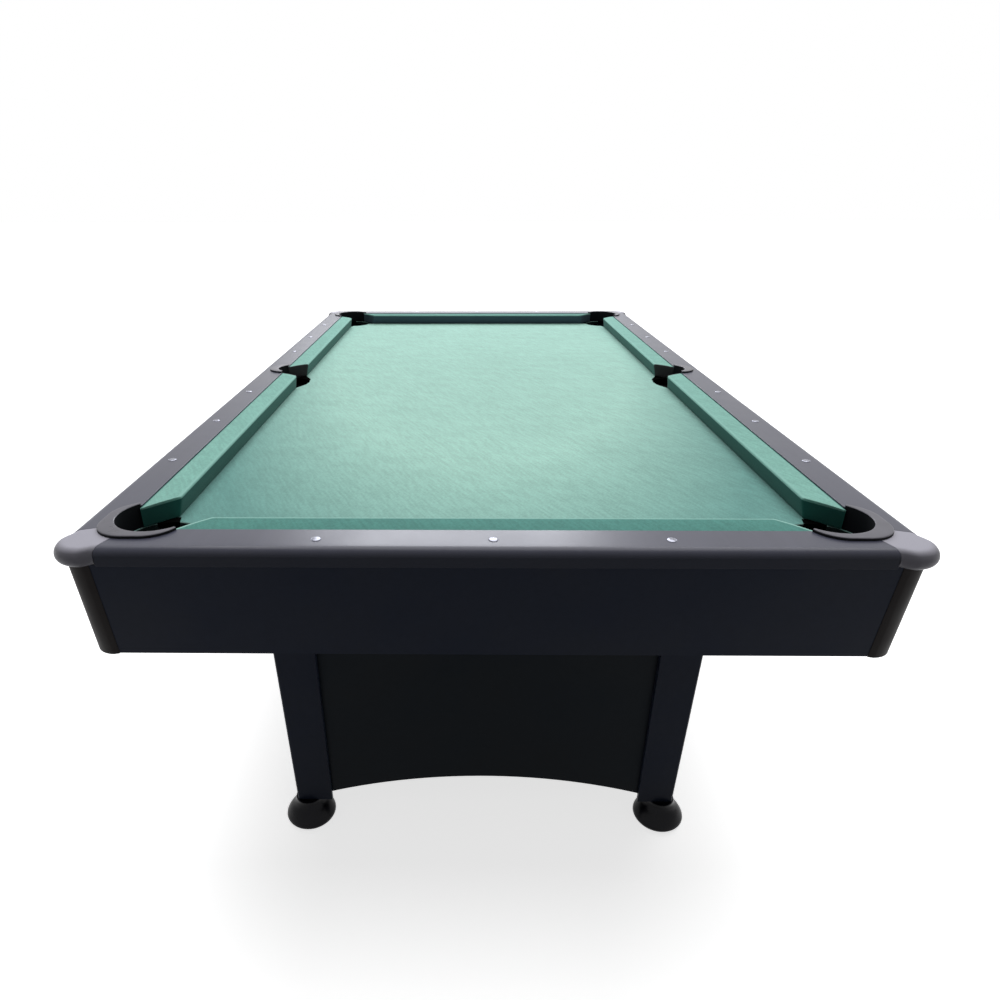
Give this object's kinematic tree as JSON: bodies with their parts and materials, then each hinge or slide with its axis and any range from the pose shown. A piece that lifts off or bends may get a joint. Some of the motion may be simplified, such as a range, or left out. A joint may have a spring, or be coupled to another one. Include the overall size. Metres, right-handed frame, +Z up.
{
  "type": "billiard table",
  "caption": "Eight-foot billiard table with cloth bed, cushioned rails, drop pockets, capped corners and an arched base on levelling feet.",
  "frame": {"origin": "on the floor under the middle of the table", "axes": "+Z up, +Y along the table away from the end that the picture shows, +X to the right seen from that end"},
  "size_m": [1.39, 2.507, 0.805],
  "materials": {
    "rail_laminate": "satin",
    "cabinet_laminate": "satin",
    "board": "matte",
    "cloth": "matte",
    "cushion_rubber": "matte",
    "cap_silver": "satin",
    "liner_plastic": "satin",
    "bucket_plastic": "matte",
    "strip_plastic": "satin",
    "sight_metal": "polished",
    "steel": "satin",
    "foot_plastic": "glossy"
  },
  "bodies": {
    "table": {"apron_far": "cabinet_laminate", "apron_left": "cabinet_laminate", "apron_near": "cabinet_laminate", "apron_right": "cabinet_laminate", "bed_cloth": "cloth", "bed_panel": "board", "corner_blocks": "board", "corner_cap_far_left": "cap_silver", "corner_cap_far_right": "cap_silver", "corner_cap_near_left": "cap_silver", "corner_cap_near_right": "cap_silver", "corner_strip_far_left": "strip_plastic", "corner_strip_far_right": "strip_plastic", "corner_strip_near_left": "strip_plastic", "corner_strip_near_right": "strip_plastic", "cross_beams": "board", "cushion_cores": "cushion_rubber", "cushion_cover_far": "cloth", "cushion_cover_left_far": "cloth", "cushion_cover_left_near": "cloth", "cushion_cover_near": "cloth", "cushion_cover_right_far": "cloth", "cushion_cover_right_near": "cloth", "end_panel_far": "cabinet_laminate", "end_panel_near": "cabinet_laminate", "foot_nuts": "steel", "leg_brackets": "steel", "pocket_buckets": "bucket_plastic", "pocket_liner_far_left": "liner_plastic", "pocket_liner_far_right": "liner_plastic", "pocket_liner_near_left": "liner_plastic", "pocket_liner_near_right": "liner_plastic", "pocket_liner_side_left": "liner_plastic", "pocket_liner_side_right": "liner_plastic", "post_far_left": "cabinet_laminate", "post_far_right": "cabinet_laminate", "post_near_left": "cabinet_laminate", "post_near_right": "cabinet_laminate", "rail_bolts": "steel", "rail_far": "rail_laminate", "rail_left": "rail_laminate", "rail_near": "rail_laminate", "rail_right": "rail_laminate", "rail_sights": "sight_metal", "side_beams": "board", "side_panel_left": "cabinet_laminate", "side_panel_right": "cabinet_laminate"},
    "foot_near_left": {"foot_bell_near_left": "foot_plastic"},
    "stud_near_left": {"foot_stud_near_left": "steel"},
    "foot_near_right": {"foot_bell_near_right": "foot_plastic"},
    "stud_near_right": {"foot_stud_near_right": "steel"},
    "foot_far_left": {"foot_bell_far_left": "foot_plastic"},
    "stud_far_left": {"foot_stud_far_left": "steel"},
    "foot_far_right": {"foot_bell_far_right": "foot_plastic"},
    "stud_far_right": {"foot_stud_far_right": "steel"}
  },
  "joints": [
    {"name": "foot_near_left_travel", "type": "slide", "parent": "table", "child": "foot_near_left", "axis": [0, 0, -1], "range_m": [0, 0.02]},
    {"name": "foot_near_left_screw", "type": "hinge", "parent": "foot_near_left", "child": "stud_near_left", "pos_m": [-0.401, -1.0235, 0.03], "axis": [0, 0, -1], "range_deg": [0, 4140]},
    {"name": "foot_near_right_travel", "type": "slide", "parent": "table", "child": "foot_near_right", "axis": [0, 0, -1], "range_m": [0, 0.02]},
    {"name": "foot_near_right_screw", "type": "hinge", "parent": "foot_near_right", "child": "stud_near_right", "pos_m": [0.401, -1.0235, 0.03], "axis": [0, 0, -1], "range_deg": [0, 4140]},
    {"name": "foot_far_left_travel", "type": "slide", "parent": "table", "child": "foot_far_left", "axis": [0, 0, -1], "range_m": [0, 0.02]},
    {"name": "foot_far_left_screw", "type": "hinge", "parent": "foot_far_left", "child": "stud_far_left", "pos_m": [-0.401, 1.0235, 0.03], "axis": [0, 0, -1], "range_deg": [0, 4140]},
    {"name": "foot_far_right_travel", "type": "slide", "parent": "table", "child": "foot_far_right", "axis": [0, 0, -1], "range_m": [0, 0.02]},
    {"name": "foot_far_right_screw", "type": "hinge", "parent": "foot_far_right", "child": "stud_far_right", "pos_m": [0.401, 1.0235, 0.03], "axis": [0, 0, -1], "range_deg": [0, 4140]}
  ],
  "couplings": [
    {"joint": "foot_near_left_screw", "follows": "foot_near_left_travel", "rad_per_m": 3590.4},
    {"joint": "foot_near_right_screw", "follows": "foot_near_right_travel", "rad_per_m": 3590.4},
    {"joint": "foot_far_left_screw", "follows": "foot_far_left_travel", "rad_per_m": 3590.4},
    {"joint": "foot_far_right_screw", "follows": "foot_far_right_travel", "rad_per_m": 3590.4}
  ]
}
